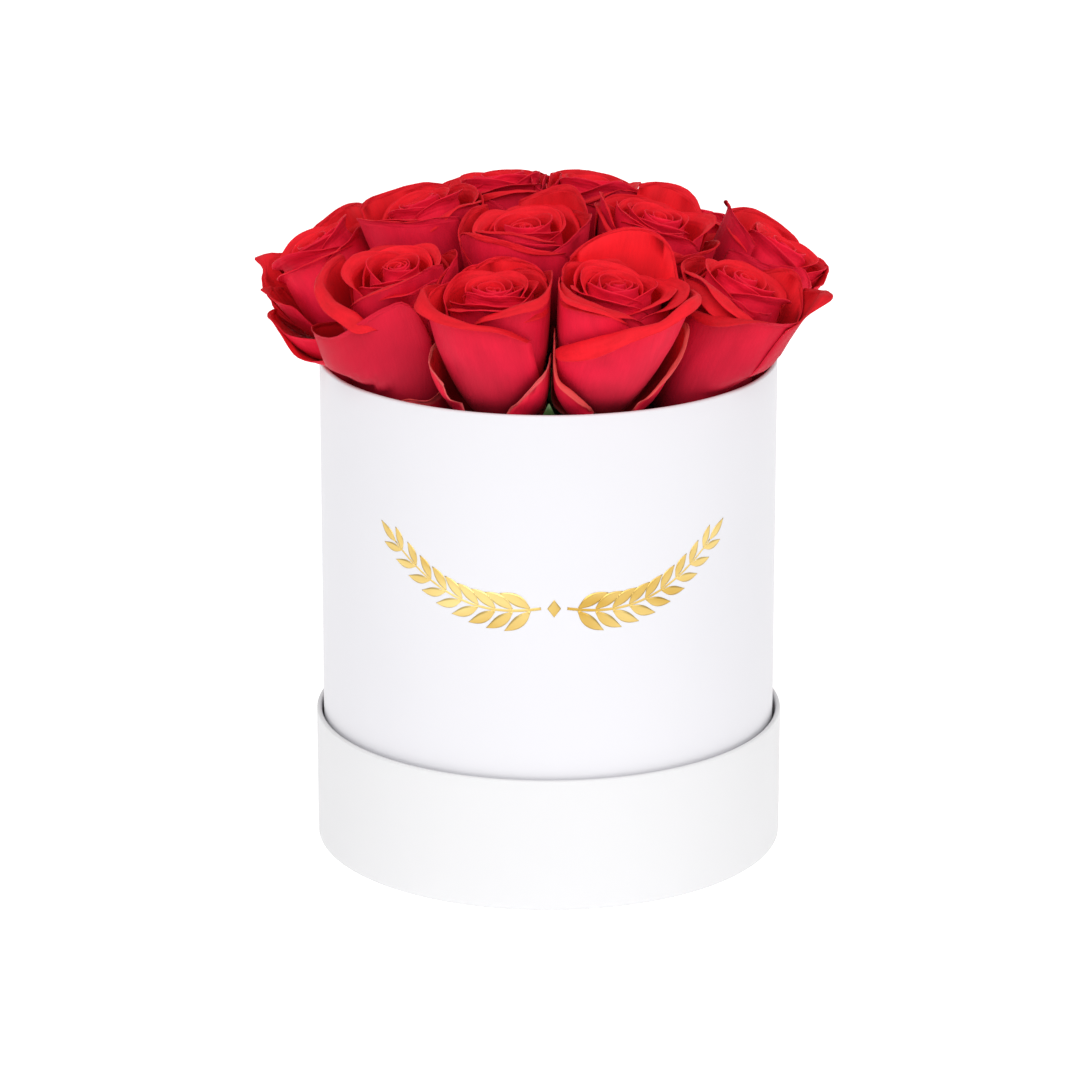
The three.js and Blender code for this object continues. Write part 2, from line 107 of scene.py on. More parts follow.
def chance(*keys):
    """A repeatable number from 0 to 1 for these keys."""
    total = sum((key + 1) * (12.9898 + 65.233 * k) for k, key in enumerate(keys))
    wave = math.sin(total) * 43758.5453
    return wave - math.floor(wave)


def smooth(x):
    t = np.clip(x, 0.0, 1.0)
    return t * t * (3 - 2 * t)


def ramp(t, *stops):
    """The value at t on the straight lines through the stops, each a place and a value."""
    places, values = zip(*stops)
    return float(np.interp(t, places, values))


def unit(vector):
    return vector / np.linalg.norm(vector)


def outward(azimuth):
    angle = math.radians(azimuth)
    return np.array([math.sin(angle), -math.cos(angle), 0.0])


class Head:
    """A rose head's own frame and the room that it has between its neighbours and over the rim."""

    def __init__(self, rose, index):
        self.name = rose["name"]
        self.seed = index + 1
        self.azimuth = rose["azimuth"]
        self.turn = rose["turn"]
        self.size = rose["size"]
        self.open = rose["open"]
        self.lean = rose["lean"]
        self.toward = outward(rose["toward"])
        self.low = rose["low"]
        self.in_ring = rose["reach"] > RING_REACH
        self.petals = PETALS + (GUARDS if self.in_ring else 0)
        lean = math.radians(rose["lean"])
        self.axis = self.toward * math.sin(lean) + UP * math.cos(lean)
        self.across = np.cross(UP, self.toward)
        self.back = np.cross(self.axis, self.across)
        self.foot = outward(rose["azimuth"]) * rose["reach"] + UP * rose["foot"]
        self.crown = self.foot + self.axis * HEAD_HEIGHT

    def set_walls(self, heads):
        walls = []
        for other in heads:
            if other is self:
                continue
            share = self.size / (self.size + other.size)
            low = self.foot + (other.foot - self.foot) * share
            high = self.crown + (other.crown - self.crown) * share
            along = unit(high - low)
            apart = other.crown - self.crown
            normal = unit(apart - along * (apart @ along))
            walls.append([(normal, low), (normal, low)])
        middle = (RIM_FACES - 1) / 2
        for k in np.arange(-middle, middle + 1):
            out = outward(self.azimuth + k * RIM_FACE_STEP)
            point = out * RIM_KEEP + UP * (RIM_Z + RIM_LIFT)
            walls.append([(out, point), (unit(out - UP * RIM_SLOPE), point)])
        self.normals = np.array([[choice[0] for choice in wall] for wall in walls])
        self.points = np.array([[choice[1] for choice in wall] for wall in walls])

    def room_share(self, centres, spokes):
        """The part of the room from the axis to the walls that each spoke takes: 1 is on a wall."""
        room = np.einsum("fcx,pfcx->pfc", self.normals, self.points[None] - centres[:, None, None])
        reach = np.maximum(0, np.einsum("fcx,px->pfc", self.normals, spokes))
        share = np.where(room > LEAST_ROOM, reach / np.maximum(room, LEAST_ROOM), np.inf).min(axis=2)
        share[np.isinf(share)] = 0
        return (share**BLEND_POWER).sum(axis=1) ** (1 / BLEND_POWER)

    def squeeze(self, points, full):
        """Draws points in towards the axis, so that heads press against each other and the rim."""
        heights = (points - self.foot) @ self.axis
        centres = self.foot + heights[:, None] * self.axis
        spokes = points - centres
        share = self.room_share(centres, spokes)
        free = full - PRESS_SPAN
        kept = free + PRESS_SPAN * np.tanh((share - free) / PRESS_SPAN)
        scale = np.where(share > free, kept / np.maximum(share, free), 1.0)
        return centres + spokes * scale[:, None]

    def place(self, grid, layer, press):
        """A grid of points of the head's own frame, set into the world and squeezed into its room.
        layer is the number of petals that lie outside this one, and press is 1, or more for a petal
        that laps over the next head."""
        flat = grid.reshape(-1, 3) * self.size
        world = self.foot + flat @ np.array([self.across, self.back, self.axis])
        return self.squeeze(world, (FULL_SHARE - LAYER_SHARE * layer) * press).reshape(grid.shape)

    def fold_share(self, petal):
        """How far a petal folds out: all the way where it has room, little where it is pressed."""
        height = petal["crest"] * FOLD_AT * self.size
        angle = math.radians(petal["turn"])
        out = self.across * math.cos(angle) + self.back * math.sin(angle)
        centre = self.foot + self.axis * height
        share = self.room_share(centre[None], (out * petal["radius"] * self.size)[None])[0]
        return ramp(share, (EASY_SHARE, 1), (TIGHT_SHARE, TIGHT_CURL))


# Whorls with their petals evenly round the head: the first and last petal, how far past the head's
# own turn the first stands, and the step to the next. The other petals follow a spiral.
WHORLS = ((19, PETALS + GUARDS - 1, 0, 72), (14, 16, 24, 120), (8, 9, 60, 180))
SPIRAL_STEP = 144
SPIRAL_DRIFT = 6
GUARD_AZIMUTHS = (-68, 66, 180)


def petal_turn(head, i):
    """The direction in which petal i stands, in degrees in the head's frame."""
    for first, last, turn, step in WHORLS:
        if first <= i <= last:
            return head.turn + turn + step * (i - first)
    return head.turn + SPIRAL_STEP * i + SPIRAL_DRIFT * (2 * chance(head.seed, i, 1) - 1)


def petal_measures(head, i):
    """The measures of petal i, from 0 in the bud's heart to the last outside, in mm and radians."""
    t = i / (PETALS - 1)

    def drift(key, amount):
        return amount * (2 * chance(head.seed, i, key) - 1)

    petal = {
        "chance": chance(head.seed, i, 11),
        # The petal's own random tone, plus painted light that brightens the inner petals in the bud's shaded
        # wells
        "tone_and_painted_light": 0.5 + drift(14, 0.12) + 0.38 * (1 - smooth((t - 0.55) / 0.35)),
        "turn": petal_turn(head, i),
        "radius": ramp(t, (0, 3.4), (0.3, 9.5), (0.55, 14.5), (0.7, 18.5), (0.8, 22), (1, 25)),
        "bowl": ramp(t, (0, 0.5), (0.7, 0.6), (0.8, 0.8), (1, 0.95)),
        "flare": 0,
        "foot_width": 0.42,
        "crest": ramp(t, (0, 56), (0.3, 57), (0.6, 57), (0.72, 56), (0.8, 53.5), (1, 50.5)) + drift(2, 0.9)
        - head.low * (1 - smooth((t - 0.7) / 0.15)),
        "top": ramp(t, (0, -0.3), (0.3, -0.22), (0.55, -0.12), (0.75, 0), (1, 0.14)) + drift(9, 0.05),
        "half": ramp(t, (0, 9), (0.3, 17), (0.6, 23), (1, 29)) + drift(3, 1.5),
        "curl": ramp(t, (0, 0.1), (0.4, 0.3), (0.6, 0.7), (0.72, 1.1), (0.82, 1.9), (1, 2.3))
        + drift(4, 0.35 * t),
        "crease": ramp(t, (0, 3), (0.6, 4), (1, 6)),
        "flap": ramp(t, (0, 0.6), (0.6, 1.6), (0.75, 2.6), (0.85, 3.6), (1, 4.5)) + drift(12, 1.5 * t),
        "margin": ramp(t, (0, 0), (0.6, 0.2), (1, 0.4)),
        "lead": drift(13, 0.35),
        "sag": ramp(t, (0, 0.06), (0.5, 0.06), (1, 0.14)),
        "slant": drift(6, 2.5 * t),
        "tuck": ramp(t, (0, 1), (0.5, 1.2), (1, 1.6)),
        "edge": ramp(t, (0, 0), (0.7, 0), (1, 2)),
        "wave": ramp(t, (0, 0.1), (0.5, 0.4), (1, 1.1)),
        "phase": 2 * math.pi * chance(head.seed, i, 7),
        "skew": drift(8, 0.25),
        "pale": 0,
        "press": 1,
        "point": ramp(t, (0, 0), (0.6, 0.5), (1, 3)) * (0.4 + 1.2 * chance(head.seed, i, 10)),
    }
    if i >= PETALS:
        petal.update(guard_measures(head, i - PETALS, drift))
    shape = SHAPED.get(head.name, {}).get(i, {})
    if isinstance(shape.get("turn"), tuple):
        petal.update(TRACED)
        petal.update(shape)
    else:
        petal.update(shape)
        petal["curl"] *= head.fold_share(petal)
    return petal


def guard_measures(head, n, drift):
    """A short outermost petal, low on the cup beside a gap between two heads."""
    out = outward(head.azimuth + GUARD_AZIMUTHS[n])
    angle = math.degrees(math.atan2(out @ head.back, out @ head.across))
    return {
        "turn": angle + drift(22, 8),
        "radius": 25.5,
        "crest": 27 + drift(23, 5),
        "top": 0.05,
        "half": 19 + drift(24, 3),
        "curl": 1.3 + drift(25, 0.5),
        "crease": 5,
        "flap": 2.5,
        "sag": 0.3,
        "slant": drift(26, 3),
        "pale": 0.5,
    }


# What a petal with its own run of measures from side to side has besides
TRACED = dict(sag=0, slant=0, top=0.14, flare=0.38, bowl=0.75, tuck=0, edge=0, wave=0.35, skew=0,
              margin=0, pale=0)

# Petals that differ from the rule, by head and petal. A tuple holds a measure at even steps from side
# to side. A tone given here paints shade and light on that petal's wall: low on the walls of a and d,
# higher on those of b, c and i.
SHAPED = {
    "a": {
        20: dict(turn=(-118, -98, -72, -48, -22, 5), crest=(48, 54, 58.5, 60.5, 61.5, 59),
                 radius=(22.5, 23, 22.5, 21.5, 20.5, 20), flap=(2, 4, 4.5, 4, 3, 2), curl=1.8),
        21: dict(turn=(-20, 5, 30, 55, 80), crest=(50, 54, 56, 55, 50), radius=(24.5, 25.5, 26, 26, 25),
                 flap=(3, 4, 4, 3, 2), curl=1.2),
        22: dict(turn=(-190, -165, -147, -131, -105, -88, -76), crest=(56, 55, 53, 50.5, 49.5, 45.5, 43),
                 radius=(25.5, 26.5, 27, 26, 25.5, 25, 24), flap=(3, 5, 7, 8, 9, 8, 3), curl=2.2),
        23: dict(turn=(-124, -104, -87, -70, -54, -42, -34), crest=(30, 37, 43, 46, 48, 42, 32),
                 radius=(23.5, 23.5, 23.5, 23.5, 23.5, 23.5, 23), flap=(1, 1, 1, 1, 1, 1, 1), curl=0.4),
        24: dict(turn=(-212, -188, -164, -140, -118, -98, -82, -68, -55, -44, -34),
                 crest=(24, 28, 32, 35, 38, 44, 49.5, 52.5, 54, 48, 36),
                 radius=(35, 35.5, 34.5, 32, 29.5, 27.5, 26.2, 25.5, 25.5, 25.3, 24.5),
                 flap=(2, 2, 2.5, 2.5, 2.5, 2.5, 2, 2, 2, 2, 1.5), curl=0.8,
                 bowl=1.9, foot_width=0.85, tone_and_painted_light=0.12),
        25: dict(crest=12),
        26: dict(crest=12),
    },
    "b": {
        19: dict(radius=19.5, bowl=0.6, tuck=0, edge=0),
        20: dict(turn=(48, 68, 90, 112, 130), crest=(55, 58, 60.5, 60, 57), radius=(25, 25, 24.5, 24, 23.5),
                 flap=(2, 2, 2, 2, 2), curl=0.6, tone_and_painted_light=0.8),
        21: dict(turn=(118, 138, 157, 176, 200, 224), crest=(57, 57, 55.5, 55, 56, 55),
                 radius=(23.5, 24.5, 25.5, 26, 26, 25), flap=(1.5, 2, 2, 2, 2, 1.5), curl=0.8, tone_and_painted_light=0.95),
        22: dict(turn=(-95, -78, -56, -34, -8, 30, 62), crest=(47, 53, 56, 57.5, 60, 60, 56),
                 radius=(21, 22.5, 23.7, 25.5, 26.5, 27, 26), flap=(2, 5, 7, 8, 6, 3, 2), curl=2.1),
        23: dict(turn=(-195, -165, -138, -116, -86, -58, -34), crest=(52, 57, 58.5, 54.5, 51.5, 49, 42),
                 radius=(25, 26.5, 27, 27, 26, 25.5, 25), flap=(2, 4, 10, 8, 6.5, 5, 4), curl=2.2),
        24: dict(turn=(-185, -160, -148, -135, -120), crest=(31, 34, 32.5, 29, 24),
                 radius=(28, 29, 27.5, 26, 24.5), flap=(2, 2.5, 2, 1.5, 1), curl=1.0, pale=0.8),
        25: dict(turn=(-64, -50, -35, -22, -8, 15), crest=(8, 15, 22, 28, 31, 30),
                 radius=(15.5, 19, 22.5, 25.5, 27, 27), flap=(1.5, 2, 2.5, 2.5, 2, 1.5), curl=1.2, pale=0.7),
    },
    "c": {
        20: dict(turn=(-45, -21, -9, 7, 25, 45, 70, 92), crest=(46, 53.5, 62, 67, 67.5, 66, 61, 55),
                 radius=(24, 24.5, 24, 24, 24.3, 24.5, 24.5, 24.5), flap=(2, 2, 2, 1.5, 1.5, 1.5, 1.5, 1.5),
                 curl=0.6, press=1.12, tone_and_painted_light=0.75),
        21: dict(radius=20, bowl=0.6, tuck=0, edge=0),
        22: dict(turn=(110, 138, 161, 183, 201, 218, 236), crest=(50, 52.5, 53.5, 53.5, 53, 51.5, 47.5),
                 radius=(25, 26, 26.5, 26.5, 26, 25, 23.5), flap=(2, 4, 5, 6, 6, 5, 3), curl=2.0, tone_and_painted_light=0.7),
        23: dict(turn=(163, 182, 206, 232, 257, 282, 325), crest=(29, 35, 41, 47, 50, 56.5, 53),
                 radius=(24.5, 25.5, 26.2, 26.5, 27, 28, 27), flap=(5, 9, 10.5, 9, 7, 8, 4), curl=2.3,
                 tone_and_painted_light=0.75),
        24: dict(turn=(140, 160, 172, 182, 196, 215), crest=(34, 34, 27, 20, 15, 9),
                 radius=(26, 27, 26, 23.5, 20, 15.5), flap=(2, 4, 5, 5, 5, 4), curl=2.0, pale=0.5),
        25: dict(turn=(-95, -76, -60, -50, -42, -25), crest=(9, 17, 24, 33, 40, 38),
                 radius=(15.5, 19.5, 23, 26.5, 28, 28), flap=(3, 3.5, 4, 4, 3, 2), curl=1.5, pale=0.6),
    },
    "d": {
        20: dict(radius=19, bowl=0.6, tuck=0, edge=0),
        21: dict(turn=(129, 159, 181, 198, 211, 222), crest=(47.5, 52.5, 55, 54, 54.5, 55.5),
                 radius=(20, 20, 20, 21, 21, 21), flap=(1.5, 2, 2.5, 2.5, 2, 1.5), curl=1.5),
        22: dict(turn=(-85, -62, -48, -34, -12), crest=(51, 58, 63, 64, 59),
                 radius=(24, 25, 25, 25, 25), flap=(2, 2, 2, 2, 2), curl=0.5),
        23: dict(turn=(135, 155, 172, 195, 221, 246), crest=(44, 46, 48, 51.5, 54, 56),
                 radius=26, flap=(4, 8, 8.5, 6, 2.5, 1.5),
                 curl=(2.2, 2.2, 2.1, 1.9, 1.5, 1.4), bowl=1.7, foot_width=0.8, tone_and_painted_light=0.2),
        24: dict(turn=(-130, -108, -92, -75, -50), crest=(52, 58, 65, 65, 60),
                 radius=(26.5, 26.5, 27, 27.5, 27), flap=(2, 3, 7, 3, 2), curl=1.35, bowl=1.5, foot_width=0.8,
                 tone_and_painted_light=0.3),
        25: dict(crest=12),
        26: dict(crest=12),
    },
    "e": {
        16: dict(radius=16.5, flap=0, curl=0.4),
        17: dict(radius=17, flap=0, curl=0.4),
        20: dict(turn=(-140, -115, -90, -65, -40), crest=(54, 57, 60, 60, 57),
                 radius=(22, 20, 18.5, 19.5, 21.5), flap=(2, 2, 2, 2, 2), curl=0.7),
        21: dict(turn=(-45, -20, 5, 34, 55, 75), crest=(54, 59.5, 61.5, 62, 60, 57),
                 radius=(22, 23, 24, 25, 26, 26.5), flap=(1.5, 2, 2, 2, 2, 2), curl=0.8),
        22: dict(turn=(118, 140, 165, 185, 197, 212), crest=(49, 51, 53, 56.5, 58, 54),
                 radius=(25, 25, 25, 25, 25, 24), flap=(2, 3.5, 4.5, 4, 3, 2), curl=1.7),
        23: dict(turn=(55, 68, 80, 95, 119, 142), crest=(56, 58, 60, 60, 58.5, 56),
                 radius=(23, 25.5, 27, 25.5, 22.5, 22), flap=(2, 3, 16, 4, 4, 3), curl=1.35),
        24: dict(radius=23, crest=22, pale=0.2),
        25: dict(radius=22, crest=18, pale=0.2),
    },
    "f": {
        20: dict(crest=50),
        21: dict(crest=49),
        22: dict(crest=48),
        23: dict(crest=48),
    },
    "h": {
        17: dict(crest=50, flap=0),
    },
    "i": {
        20: dict(turn=(100, 120, 138, 154, 170, 186, 204), crest=(57, 61, 62, 62, 61.5, 60, 56),
                 radius=24, flap=(1.5, 2, 2, 2, 2, 2, 1.5), curl=0.8, press=1.1),
        22: dict(turn=(-165, -150, -137, -125, -113, -100, -85), crest=(53, 56, 58, 59, 57.5, 56, 52),
                 radius=(25, 25.5, 26, 26.5, 26.5, 26, 26), flap=(2, 2, 3, 9, 3, 2, 2), curl=1.2),
        23: dict(turn=(-112, -102, -93, -85, -74, -58, -38), crest=(49, 50.5, 51.5, 52, 51, 49, 45),
                 radius=(23.5, 24, 24, 24, 24.5, 25, 25.5), flap=(2, 3, 3, 5, 3, 3, 3), curl=1.4),
        24: dict(turn=(-110, -85, -62, -47, -38, -28, -12, 8), crest=(42, 44, 43, 38, 32, 27, 23, 15),
                 radius=(25, 27, 29, 31.5, 35, 39, 38, 31), flap=(2, 3, 3, 4, 4, 4, 3, 2), curl=1.1,
                 bowl=1.9, foot_width=0.8, press=1.2),
        25: dict(turn=(-88, -68, -50, -34, -18, 0), crest=(44, 43, 41, 37, 33, 26),
                 radius=(27, 29, 31.5, 34.5, 36, 32), flap=(2, 2, 2, 2, 2, 2), curl=0.8,
                 bowl=1.7, foot_width=0.8, press=1.12, tone_and_painted_light=0.7),
        26: dict(crest=12),
    },
    "j": {
        19: dict(turn=(-135, -119, -85, -59, -34), crest=(56, 57, 58, 56.5, 53),
                 radius=(20, 21, 21, 21, 20.5), flap=(3, 5, 6, 5, 3), curl=1.9),
        20: dict(turn=(-215, -190, -165, -145, -125), crest=(56, 56, 52, 47, 43),
                 radius=(25.5, 26.5, 26.5, 25.5, 24), flap=(2, 3, 4, 4, 2), curl=1.6),
        21: dict(turn=(28, 48, 68, 90, 115), crest=(54, 57.5, 60.5, 59, 55),
                 radius=(25, 26.5, 27, 26.5, 25), flap=(3, 4, 4, 3, 2), curl=1.2),
        22: dict(turn=(-50, -30, -10, 15, 40, 62), crest=(50, 54, 57, 57, 54, 54),
                 radius=25, flap=(2, 3, 3, 3, 3, 2), curl=1.2),
        23: dict(turn=(-150, -135, -118, -98, -72, -46, -30), crest=(53, 55.5, 56.3, 55.8, 53.8, 51, 49),
                 radius=25, flap=(3, 5, 8, 8, 8, 6, 3), curl=2.1),
    },
    "k": {
        17: dict(turn=(125, 142, 160, 182, 205, 235), crest=(60, 58.5, 56.5, 54.5, 54, 55.5),
                 radius=(18, 18, 17.5, 16.5, 15.5, 15), flap=(2, 3, 3.5, 3.5, 3.5, 2), curl=1.5),
        20: dict(turn=(90, 108, 126, 148), crest=(58, 59.5, 58, 52), radius=(23, 23, 22, 21),
                 flap=(2, 3, 4, 3), curl=1.5),
        22: dict(radius=22, crest=49),
        23: dict(turn=(-45, -28, -12, 4, 22, 40), crest=(50, 54, 59, 61, 61.5, 60),
                 radius=(22, 23, 24, 24.5, 24.5, 24.5), flap=(2, 3, 4, 3, 2, 2), curl=1.4),
    },
    "l": {
        21: dict(crest=49),
        22: dict(turn=(-20, 5, 30, 52, 72), crest=(55.5, 57.5, 58, 56.5, 53), radius=(25, 26, 26.5, 26.5, 25),
                 flap=(1.5, 1.5, 1, 1, 1), curl=0.4, press=1.3),
        23: dict(turn=(-125, -96, -65, -37, -10), crest=(50, 53, 56.5, 56.5, 55.5), radius=25,
                 flap=(2, 3, 3, 3, 2), curl=1.0),
    },
    "m": {
        22: dict(turn=(110, 135, 160, 185), crest=(54, 56.5, 57.5, 56), radius=(25, 26, 26, 25),
                 flap=(1, 1, 1.5, 1.5), curl=0.4, press=1.35),
        23: dict(turn=(-170, -145, -120, -95, -70), crest=(55, 56.5, 57, 56.5, 55), radius=25,
                 flap=(2, 3, 3, 3, 2), curl=1.0),
    },
    "n": {
        22: dict(turn=(150, 180, 210, 240, 270), crest=(57, 59, 60, 60, 60), radius=(22, 22, 22.5, 23, 24.5),
                 flap=(2, 2, 2, 2, 2), curl=0.6),
        23: dict(turn=(-80, -52, -26, 3, 29, 50), crest=(56.5, 58, 57, 54, 52.5, 51),
                 radius=(24, 25, 25, 25, 25, 25), flap=(1.5, 3, 5, 5, 4, 2), curl=1.7),
    },
}

WALL_STEPS = 24
LIP_STEPS = 16
MOST_CURL = 2.9
MOST_WRAP = 2.4
SIDE_POWER = 2.6
SIDE_CURL = 0.2
LIP_REACH = 1.03
TOP_START = 0.4
TOP_SPAN = 0.5
WAVE_START = 0.25
WAVE_SPAN = 0.7
EDGE_START = 0.85
FULL_WIDTH_AT = 0.7

# Waves across a petal: how fast each runs from side to side, and its share of the petal's wave
SWAY_RATE = 2.6
RUFFLE_RATE = 9
RUFFLE_SHARE = 0.3
HEAVE_RATE = 4.1
HEAVE_SHARE = 0.7
FRILL_RATE = 7
FRILL_SHARE = 0.35


def spread(value, us):
    """A measure at each place across a petal: one number, or even steps from side to side."""
    if not isinstance(value, tuple):
        return value + 0 * us
    places = np.linspace(-1, 1, len(value))
    values = np.array(value, float)
    slopes = np.gradient(values)
    k = np.clip(np.searchsorted(places, us, side="right") - 1, 0, len(value) - 2)
    t = (us - places[k]) / (places[1] - places[0])
    rise = values[k + 1] - values[k]
    bend = slopes[k] + slopes[k + 1] - 2 * rise
    return values[k] + slopes[k] * t + (3 * rise - 2 * slopes[k] - slopes[k + 1]) * t**2 + bend * t**3


def petal_grid(head, petal, us, wall_stride, lip_stride):
    """The middle surface of a petal in the head's frame, as an array of across, along and xyz, with
    how far along its own length each point lies: 1 at the lip's crest and 2 at the tip."""
    side = np.abs(us)
    crest = spread(petal["crest"], us) * (1 - petal["sag"] * side**SIDE_POWER) + petal["slant"] * us
    out = spread(petal["radius"], us) - ROOT_R - petal["flare"] * petal["top"] * head.open * crest
    bowl = np.maximum(petal["bowl"], 2 * np.arctan2(out, crest))
    bowl_length = out * bowl / (1 - np.cos(bowl))
    wall = bowl_length * (1 - np.sin(bowl) / bowl) + crest
    if isinstance(petal["flap"], tuple):
        lip = spread(petal["flap"], us)
    else:
        lip = (petal["crease"] + petal["flap"]) * (LIP_REACH - side**SIDE_POWER)
        lip = lip + petal["point"] * np.maximum(0, 1 - np.abs(us - petal["lead"])) ** 2
    curl = spread(petal["curl"], us) * (1 + SIDE_CURL * side**2 + petal["skew"] * us)
    curl = np.minimum(MOST_CURL, curl + petal["margin"] * side**2)
    on_side = (np.arange(WALL_STEPS)[:, None] + 0.5) / WALL_STEPS * wall
    on_lip = wall + (np.arange(LIP_STEPS)[:, None] + 0.5) / LIP_STEPS * lip
    along = np.vstack([on_side, on_lip])
    steps = np.vstack([np.tile(wall / WALL_STEPS, (WALL_STEPS, 1)), np.tile(lip / LIP_STEPS, (LIP_STEPS, 1))])
    lean = bowl * np.maximum(0, 1 - along / bowl_length)
    lean = lean + petal["top"] * head.open * smooth((along / wall - TOP_START) / TOP_SPAN)
    lean = lean + curl * smooth((along - wall) / petal["crease"])
    radii = ROOT_R + np.vstack([0 * us, np.cumsum(steps * np.sin(lean), axis=0)])
    heights = np.vstack([0 * us, np.cumsum(steps * np.cos(lean), axis=0)])
    rows = np.concatenate([np.arange(0, WALL_STEPS, wall_stride),
                           np.arange(WALL_STEPS, WALL_STEPS + LIP_STEPS + 1, lip_stride)])
    radius, height = radii[rows].T, heights[rows].T
    v = np.where(rows <= WALL_STEPS, rows / WALL_STEPS, 1 + (rows - WALL_STEPS) / LIP_STEPS)[None]
    u = us[:, None]
    up = smooth((v - WAVE_START) / WAVE_SPAN)
    edge = smooth(v - EDGE_START)
    phase = petal["phase"]
    stand = petal["tuck"] * u + petal["edge"] * u**4 + petal["wave"] * np.sin(SWAY_RATE * u + phase)
    opening = np.sin(math.pi / 2 * np.minimum(1, v / FULL_WIDTH_AT))
    width = petal["foot_width"] + (1 - petal["foot_width"]) * opening
    if isinstance(petal["turn"], tuple):
        turns = np.radians(spread(petal["turn"], us))
        middle = (turns[0] + turns[-1]) / 2
        reach = ((turns - middle) * spread(petal["radius"], us))[:, None]
    else:
        middle = math.radians(petal["turn"])
        reach = petal["half"] * u
    angle = middle + np.clip(reach * width / np.maximum(radius, ROOT_R), -MOST_WRAP, MOST_WRAP)
    radius = radius + stand * up + RUFFLE_SHARE * petal["wave"] * np.sin(RUFFLE_RATE * u + 2 * phase) * edge
    height = height + HEAVE_SHARE * petal["wave"] * np.cos(HEAVE_RATE * u + 1.7 * phase) * up
    height = height + FRILL_SHARE * petal["wave"] * np.sin(FRILL_RATE * u - phase) * edge
    return np.stack([radius * np.cos(angle), radius * np.sin(angle), height], axis=-1), v[0]


def surface_normals(grid):
    across = np.gradient(grid, axis=0)
    along = np.gradient(grid, axis=1)
    normals = np.cross(across, along)
    return normals / np.maximum(np.linalg.norm(normals, axis=-1, keepdims=True), TINY)


class MeshBuilder:
    """Gathers vertices, faces and per-vertex values, and makes one Blender mesh of them."""

    def __init__(self):
        self.vertices = []
        self.faces = []
        self.values = {}
        self.count = 0

    def add(self, vertices, *faces, **values):
        self.vertices.append(vertices)
        self.faces.extend(rows + self.count for rows in faces)
        for name, rows in values.items():
            self.values.setdefault(name, []).append(rows)
        self.count += len(vertices)

    def sheet(self, grid, thick, values):
        """A closed thin sheet round a grid. values(side) gives the per-vertex rows of one side."""
        rows, columns = grid.shape[:2]
        offset = surface_normals(grid) * thick / 2
        vertices = np.concatenate([(grid + offset).reshape(-1, 3), (grid - offset).reshape(-1, 3)])
        index = np.arange(rows * columns).reshape(rows, columns)
        a, b, c, d = index[:-1, :-1], index[1:, :-1], index[1:, 1:], index[:-1, 1:]
        outer = np.stack([a, b, c, d], axis=-1).reshape(-1, 4)
        inner = np.stack([a, d, c, b], axis=-1).reshape(-1, 4) + rows * columns
        ring = np.concatenate([index[:, 0], index[-1, 1:], index[-2::-1, -1], index[0, -2:0:-1]])
        beside = np.roll(ring, -1)
        rim = np.stack([beside, ring, ring + rows * columns, beside + rows * columns], axis=-1)
        outside, inside = values(0.0), values(1.0)
        joined = {name: np.concatenate([outside[name], inside[name]]) for name in outside}
        self.add(vertices, outer, inner, rim, **joined)

    def build(self, name, material, smooth_angle=None):
        mesh = bpy.data.meshes.new(name)
        vertices = np.concatenate(self.vertices) * MM
        faces = [row for rows in self.faces for row in rows.tolist()]
        mesh.from_pydata(vertices.tolist(), [], faces)
        for key, rows in self.values.items():
            data = np.concatenate(rows).astype(np.float32)
            if data.shape[1] == 4:
                mesh.attributes.new(key, "FLOAT_COLOR", "POINT").data.foreach_set("color", data.ravel())
            else:
                mesh.attributes.new(key, "FLOAT_VECTOR", "POINT").data.foreach_set("vector", data.ravel())
        mesh.polygons.foreach_set("use_smooth", [True] * len(mesh.polygons))
        if smooth_angle is not None:
            mesh.set_sharp_from_angle(angle=math.radians(smooth_angle))
        mesh.materials.append(material)
        mesh.validate()
        piece = bpy.data.objects.new(name, mesh)
        bpy.context.scene.collection.objects.link(piece)
        return piece


# Materials


